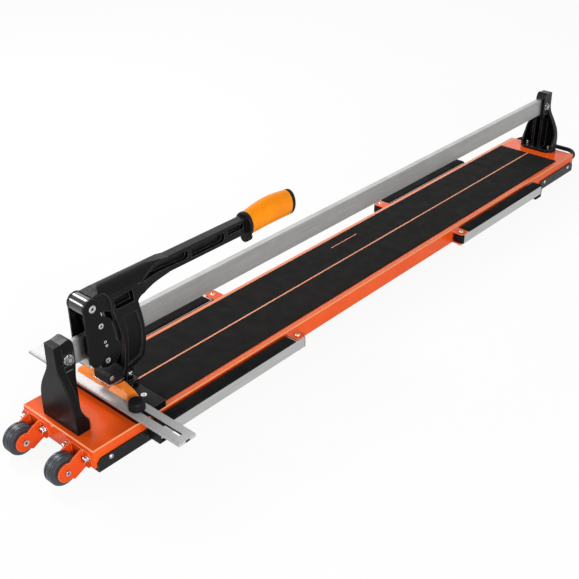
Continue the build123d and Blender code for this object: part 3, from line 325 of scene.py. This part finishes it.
ruler_low, ruler_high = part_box("ruler")
finishes = {
    "bed_paint": enamel("bed_paint", (0.83, 0.082, 0.007), (0.77, 0.066, 0.005)),
    "orange_plastic": moulded("orange_plastic", (1.0, 0.27, 0.03), (0.97, 0.23, 0.022),
                              (1.0, 0.45, 0.14), coat=0.1),
    "grip_rubber": moulded("grip_rubber", (0.98, 0.31, 0.006), (0.92, 0.25, 0.004), (1.0, 0.5, 0.08),
                           rough=(0.30, 0.42), grain=0.04),
    "black_casting": casting("black_casting", (0.002, 0.002, 0.0025), (0.004, 0.004, 0.0045),
                             (0.20, 0.20, 0.20), rough=(0.30, 0.40), grain=0.02, gloss=0.12),
    "black_bar": casting("black_bar", (0.006, 0.006, 0.007), (0.010, 0.010, 0.011), (0.09, 0.09, 0.09),
                         rough=(0.25, 0.40), grain=0.02),
    "black_rubber": rubber("black_rubber", (0.006, 0.006, 0.007), (0.012, 0.012, 0.013),
                           1.2 * MM, 0.08 * MM),
    "mat": rubber("mat", (0.0095, 0.009, 0.009), (0.0125, 0.0115, 0.011), 1.5 * MM, 0.10 * MM,
                  sheen=0.01),
    "black_plastic": moulded("black_plastic", (0.009, 0.009, 0.010), (0.006, 0.006, 0.007),
                             (0.07, 0.07, 0.07)),
    "rib": enamel("rib", (0.88, 0.30, 0.13), (0.82, 0.24, 0.09), dust_and_highlight=(0.95, 0.72, 0.6)),
    "bright_steel": plated("bright_steel", (0.62, 0.62, 0.64), (0.30, 0.30, 0.32), rough=(0.14, 0.30)),
    "yellow_zinc": plated("yellow_zinc", (0.74, 0.64, 0.42), (0.50, 0.42, 0.26)),
    "bright_aluminium": brushed("bright_aluminium", (0.58, 0.58, 0.575), (0.44, 0.44, 0.435),
                                (1, 160, 1)),
    "dark_steel": casting("dark_steel", (0.002, 0.002, 0.0025), (0.004, 0.004, 0.0045),
                          (0.24, 0.24, 0.24), rough=(0.14, 0.22), grain=0.01, gloss=0.1),
    "gloss_black": casting("gloss_black", (0.005, 0.005, 0.006), (0.008, 0.008, 0.009),
                           (0.10, 0.10, 0.10), rough=(0.10, 0.16), grain=0.01, gloss=0.4, coat=0.5),
    "carbide": plated("carbide", (0.42, 0.43, 0.46), (0.26, 0.27, 0.29)),
    "tyre_grey": moulded("tyre_grey", (0.030, 0.038, 0.050), (0.020, 0.026, 0.035),
                         (0.06, 0.07, 0.085), rough=(0.38, 0.48), grain=0.001, gloss=0.45),
    "nylon": moulded("nylon", (0.80, 0.79, 0.74), (0.70, 0.69, 0.64), (0.9, 0.9, 0.88)),
}
# Nodes that look unlike the rest of their material slot
special = {
    "base_channel": enamel("bed_enamel", (0.90, 0.108, 0.010), (0.85, 0.088, 0.008),
                           mats=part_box("bed_mats")),
    "rail": brushed("rail_aluminium", (0.44, 0.44, 0.435), (0.32, 0.32, 0.315), (1, 160, 1)),
    "ruler": graduated("ruler_scale", (0.62, 0.62, 0.615), (0.50, 0.50, 0.50), (0.06, 0.06, 0.06),
                       ruler_low, ruler_high),
    "top_roller": plated("roller_steel", (0.62, 0.62, 0.64), (0.34, 0.34, 0.36), rough=(0.10, 0.20)),
}
step_grey = casting("step_grey", (0.13, 0.13, 0.13), (0.18, 0.18, 0.18), (0.3, 0.3, 0.3), grain=0.02)


def dress(thing, finish):
    """Gives every material slot of an object the finish."""
    if not thing.material_slots:
        thing.data.materials.append(finish)
    for slot in thing.material_slots:
        slot.material = finish


for subpart in frame["record"]["subparts"]:
    name = subpart["node"]
    dress(nodes[name], special.get(name, finishes[subpart["material_slot"]]))


# ---- Small fittings that ride on the CAD bodies ----
bed_low, bed_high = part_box("base_channel")
middle = (bed_low + bed_high) / 2


def solids_of(name):
    """Low and high corner of each separate solid in a CAD node, from left to right and front to back."""
    mesh = bmesh.new()
    mesh.from_mesh(nodes[name].data)
    bmesh.ops.remove_doubles(mesh, verts=mesh.verts, dist=0.002 * MM)
    left = set(mesh.verts)
    found = []
    while left:
        front = [left.pop()]
        island = list(front)
        while front:
            reached = front.pop()
            near = [edge.other_vert(reached) for edge in reached.link_edges]
            near = [vert for vert in near if vert in left]
            left.difference_update(near)
            front += near
            island += near
        low = Vector([min(vert.co[i] for vert in island) for i in range(3)])
        high = Vector([max(vert.co[i] for vert in island) for i in range(3)])
        found.append((low, high))
    mesh.free()
    return sorted(found, key=lambda corners: [round(part / MM) for part in corners[0]])


def shown(name, mesh, slot_name, body, finish=None):
    """Makes an object of a mesh, gives it its finish and lets it ride on a body."""
    bmesh.ops.recalc_face_normals(mesh, faces=mesh.faces)
    data = bpy.data.meshes.new(name)
    mesh.to_mesh(data)
    mesh.free()
    piece = bpy.data.objects.new(name, data)
    bpy.context.scene.collection.objects.link(piece)
    dress(piece, finish or finishes[slot_name])
    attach(piece, body)
    return piece


def lathe(name, profile, sides, at, direction, slot_name, body, closed=False):
    """Turns (radius, height) points about an axis that starts at a place and points along direction.

    A closed profile makes a ring, an open one gets a flat face at each end. Only round pieces are
    shaded smooth.
    """
    mesh = bmesh.new()
    angles = [2 * math.pi * i / sides for i in range(sides)]
    rings = []
    for radius, height in profile:
        rings.append([mesh.verts.new((radius * math.cos(angle), radius * math.sin(angle), height))
                      for angle in angles])
    pairs = list(zip(rings, rings[1:]))
    if closed:
        pairs.append((rings[-1], rings[0]))
    else:
        mesh.faces.new(rings[-1])
        mesh.faces.new(list(reversed(rings[0])))
    for lower, upper in pairs:
        for i in range(sides):
            j = (i + 1) % sides
            face = mesh.faces.new((lower[i], lower[j], upper[j], upper[i]))
            face.smooth = sides > HEXAGON
    turn = Vector(direction).to_track_quat("Z", "Y").to_matrix().to_4x4()
    mesh.transform(Matrix.Translation(at) @ turn)
    return shown(name, mesh, slot_name, body)


def bar(name, low, high, edge, slot_name, body, finish=None):
    """Bar between two corners with rolled edges."""
    mesh = bmesh.new()
    size = Vector(high) - Vector(low)
    place = Matrix.Translation((Vector(low) + Vector(high)) / 2) @ Matrix.Diagonal((*size, 1))
    bmesh.ops.create_cube(mesh, size=1, matrix=place)
    bmesh.ops.bevel(mesh, geom=mesh.edges, offset=edge, segments=3, profile=0.5, affect="EDGES")
    return shown(name, mesh, slot_name, body, finish)


def outer_faces(node, side=0):
    """Middle of the outer face of each solid of a node, and the way it looks along x.

    A side of 0 means the side of the bed on which the solid lies.
    """
    found = []
    for low, high in solids_of(node):
        way = side or (1 if low.x > middle.x else -1)
        centre = (low + high) / 2
        found.append((Vector((high.x if way > 0 else low.x, centre.y, centre.z)), way))
    return found


def socket(name, at, direction, radius, body):
    """Socket of a screw: a dark hexagon disc, painted shade standing for its recess, with the rolled rim
    round it.
    """
    sunk = 0.2 * MM
    rim = [(radius * 1.35, -sunk), (radius * 1.35, 0.05 * MM), (radius * 1.22, 0.22 * MM),
           (radius * 1.08, 0.12 * MM), (radius * 1.08, -sunk)]
    recess = [(radius, 0.0), (radius, 0.16 * MM), (radius * 0.92, 0.18 * MM)]
    lathe(name + "_rim", rim, ROUND, at, direction, "bright_steel", body, closed=True)
    lathe(name + "_recess", recess, HEXAGON, at, direction, "black_bar", body)


def sockets(node, radius, body, side=0, depth=0.1 * MM):
    """One socket on the outer face of each solid of a node, set in by its depth."""
    for i, (at, way) in enumerate(outer_faces(node, side)):
        socket(f"{node}_socket_{i}", at - Vector((way * depth, 0, 0)), (way, 0, 0), radius, body)


def support_screw_recesses():
    """Dark hexagon down in the head of each pivot screw of the supports: painted shade in its recess."""
    radius = 2.15 * MM
    below_top = 1.2 * MM
    profile = [(radius, 0.0), (radius, 0.1 * MM), (1.9 * MM, 0.16 * MM)]
    for i, (low, high) in enumerate(solids_of("arm_pivot_screws")):
        centre = (low + high) / 2
        at = Vector((centre.x, centre.y, high.z - below_top))
        lathe(f"arm_recess_{i}", profile, HEXAGON, at, (0, 0, 1), "black_bar", "base")


def rail_bolt_shade_ring(index, head):
    """Dark ring round the head of a rail bolt: painted shade of the gap between head and washer."""
    inner = 4.0 * MM
    outer = 5.6 * MM
    rounded = 0.4 * MM
    sunk = 0.1 * MM
    shoulder = 0.12 * MM
    top = 0.2 * MM
    profile = [(inner, -sunk), (inner, shoulder), (inner + rounded, top), (outer - rounded, top),
               (outer, shoulder), (outer, -sunk)]
    lathe(f"rail_bolt_shade_ring_{index}", profile, WIDE_ROUND, head, (1, 0, 0), "black_bar", "base",
          closed=True)


def tower_step(index, head):
    """Thin light grey step on the side of a tower, below the head of its rail bolt."""
    tower_half = 12 * MM
    outward = 2.8 * MM if head.y > middle.y else -2.8 * MM
    drop = 19.7 * MM
    sunk = 0.3 * MM
    proud = 0.25 * MM
    half_length = 8.2 * MM
    half_height = 0.6 * MM
    step = Vector((middle.x + tower_half, head.y + outward, head.z - drop))
    low = step - Vector((sunk, half_length, half_height))
    high = step + Vector((proud, half_length, half_height))
    bar(f"tower_step_{index}", low, high, 0.2 * MM, "black_casting", "base", step_grey)


def slit_strip():
    """Raised strip of the bed that shows through the slit of the left mat."""
    mats_low, mats_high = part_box("bed_mats")
    slit_x = (mats_low.x + mats_high.x) / 2 - 50.4 * MM
    slit_front = mats_low.y + 577.5 * MM
    half_width = 1.0 * MM
    above_mat = 0.1 * MM
    low = (slit_x - half_width, slit_front + 1 * MM, mats_low.z - above_mat)
    high = (slit_x + half_width, slit_front + 84 * MM, mats_high.z + above_mat)
    bar("slit_strip", low, high, 0.4 * MM, "rib", "base")


def ruler_stop():
    """Dark stop screw under the left end of the ruler."""
    from_end = 37 * MM
    off_middle = 8.5 * MM
    at = Vector((ruler_low.x + from_end, (ruler_low.y + ruler_high.y) / 2 - off_middle, ruler_low.z))
    profile = [(3 * MM, 0), (3 * MM, 1.5 * MM), (5.2 * MM, 1.5 * MM), (5.2 * MM, 6 * MM),
               (4.4 * MM, 6.8 * MM)]
    lathe("ruler_stop", profile, HEXAGON, at, (0, 0, -1), "black_plastic", "ruler")


def foot_pin_head(index, end):
    """Domed head on the end of the breaker foot's pin, with its socket, whose dark hexagon is painted
    shade.
    """
    dome = [(4.3 * MM, -0.1 * MM), (4.1 * MM, 0.4 * MM), (3.3 * MM, 0.9 * MM), (2.3 * MM, 1.15 * MM),
            (1.7 * MM, 1.15 * MM)]
    lathe(f"foot_pin_dome_{index}", dome, ROUND, end, (1, 0, 0), "bright_steel", "lever")
    socket(f"foot_pin_socket_{index}", end + Vector((1.1 * MM, 0, 0)), (1, 0, 0), 1.5 * MM, "lever")


def guard_lip(block_low):
    """Front lip of the guard plate, folded up round the edge of the scoring block."""
    guard_low, guard_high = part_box("guard_plate")
    low = (guard_low.x + 1 * MM, block_low.y - 1.0 * MM, guard_low.z + 0.1 * MM)
    high = (guard_high.x - 1 * MM, guard_low.y + 0.2 * MM, guard_high.z + 0.6 * MM)
    bar("guard_lip", low, high, 0.35 * MM, "bright_steel", "lever")


def scoring_nut(block_low, block_high):
    """Lock nut on the right side of the scoring block."""
    at = Vector((block_high.x - 0.1 * MM, block_low.y + 6.5 * MM, block_high.z - 9 * MM))
    profile = [(4.6 * MM, 0), (4.6 * MM, 1.8 * MM), (3.9 * MM, 2.2 * MM), (2.2 * MM, 2.2 * MM),
               (2.0 * MM, 2.9 * MM)]
    lathe("scoring_nut", profile, HEXAGON, at, (1, 0, 0), "bright_steel", "lever")


# Socket heads, whose dark hexagons are painted shade
sockets("pivot_pin", 2.4 * MM, "carriage", side=1)
sockets("roller_axles", 1.9 * MM, "carriage", side=1)
sockets("guide_screws", 1.1 * MM, "carriage")
sockets("foot_screws", 1.5 * MM, "base", depth=0.25 * MM)
sockets("wheel_axles", 2.2 * MM, "base", side=1)
support_screw_recesses()
for i, (head, _) in enumerate(outer_faces("rail_bolts", 1)):
    rail_bolt_shade_ring(i, head)
    tower_step(i, head)
slit_strip()
ruler_stop()
for i, (end, _) in enumerate(outer_faces("foot_pin", 1)):
    foot_pin_head(i, end)
block_low, block_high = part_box("scoring_head")
guard_lip(block_low)
scoring_nut(block_low, block_high)


# ---- Floor, light and camera ----
def background_rays(tree):
    """1 for rays that show the background: seen directly, mirrored or through glass."""
    rays = tree.nodes.new("ShaderNodeLightPath")
    seen = rays.outputs["Is Camera Ray"]
    for kind in ("Is Glossy Ray", "Is Transmission Ray"):
        either = tree.nodes.new("ShaderNodeMath")
        either.operation = "MAXIMUM"
        tree.links.new(seen, either.inputs[0])
        tree.links.new(rays.outputs[kind], either.inputs[1])
        seen = either.outputs["Value"]
    return seen


def plain_floor(size, whiteness):
    """White floor just under the feet. The share that isn't plain white keeps the object's shadow."""
    bpy.ops.mesh.primitive_plane_add(size=size, location=(0, 0, -0.3 * MM))
    floor = bpy.context.object
    floor.name = "floor"
    material = bpy.data.materials.new("floor")
    material.use_nodes = True
    tree = material.node_tree
    tree.nodes.remove(tree.nodes["Principled BSDF"])
    matt = tree.nodes.new("ShaderNodeBsdfDiffuse")
    matt.inputs["Color"].default_value = (0.9, 0.9, 0.9, 1)
    white = tree.nodes.new("ShaderNodeEmission")
    share = tree.nodes.new("ShaderNodeMath")
    share.operation = "MULTIPLY"
    share.inputs[1].default_value = whiteness
    mixer = tree.nodes.new("ShaderNodeMixShader")
    tree.links.new(background_rays(tree), share.inputs[0])
    tree.links.new(share.outputs["Value"], mixer.inputs[0])
    tree.links.new(matt.outputs[0], mixer.inputs[1])
    tree.links.new(white.outputs[0], mixer.inputs[2])
    tree.links.new(mixer.outputs[0], tree.nodes["Material Output"].inputs["Surface"])
    floor.data.materials.append(material)


def sky(ambient):
    """Soft surroundings that light the object weakly and show as white."""
    world = bpy.data.worlds.new("studio")
    bpy.context.scene.world = world
    world.use_nodes = True
    tree = world.node_tree
    fill = tree.nodes["Background"]
    fill.inputs["Color"].default_value = (1, 1, 1, 1)
    fill.inputs["Strength"].default_value = ambient
    white = tree.nodes.new("ShaderNodeBackground")
    white.inputs["Color"].default_value = (1, 1, 1, 1)
    mixer = tree.nodes.new("ShaderNodeMixShader")
    tree.links.new(background_rays(tree), mixer.inputs[0])
    tree.links.new(fill.outputs[0], mixer.inputs[1])
    tree.links.new(white.outputs[0], mixer.inputs[2])
    tree.links.new(mixer.outputs[0], tree.nodes["World Output"].inputs["Surface"])


def softbox(name, place, aim, width, height, power):
    """Rectangular area lamp turned towards aim."""
    lamp = bpy.data.lights.new(name, "AREA")
    lamp.shape = "RECTANGLE"
    lamp.size = width
    lamp.size_y = height
    lamp.energy = power
    holder = bpy.data.objects.new(name, lamp)
    bpy.context.scene.collection.objects.link(holder)
    holder.location = place
    holder.rotation_euler = (Vector(aim) - Vector(place)).to_track_quat("-Z", "Y").to_euler()


def aimed_camera(azimuth, elevation, roll, aim, distance, focal_length):
    """Camera that looks at aim from a direction. Angles are in degrees, azimuth 0 looks along +Y."""
    across = math.radians(azimuth)
    up = math.radians(elevation)
    back = Vector((math.sin(across) * math.cos(up), -math.cos(across) * math.cos(up), math.sin(up)))
    lens = bpy.data.cameras.new("camera")
    lens.lens = focal_length
    lens.sensor_width = 36
    lens.clip_start = 0.05
    camera = bpy.data.objects.new("camera", lens)
    camera.location = Vector(aim) + back * distance
    turn = (-back).to_track_quat("-Z", "Y").to_matrix()
    camera.rotation_euler = (turn @ Matrix.Rotation(math.radians(roll), 3, "Z")).to_euler()
    bpy.context.scene.collection.objects.link(camera)
    return camera


plain_floor(size=30, whiteness=0.92)
sky(0.3)
softbox("top_light", (-1.75, -0.35, 1.85), (0, -0.2, 0.1), 0.6, 0.6, 34)
softbox("front_light", (3.0, -1.8, 1.5), (0, -0.2, 0.1), 1.0, 1.0, 82)
softbox("left_light", (-2.15, -2.5, 1.2), (0, -0.7, 0.1), 0.6, 0.6, 22)
softbox("back_light", (-2.3, 3.0, 1.9), (0, 3.0, 0.1), 5.2, 0.8, 19)
bpy.context.scene.camera = aimed_camera(azimuth=41.5, elevation=30.54, roll=-0.16,
                                        aim=(0.0216, -0.2384, 0.0830), distance=1.75,
                                        focal_length=58.98)
bpy.context.scene.view_settings.view_transform = "Standard"
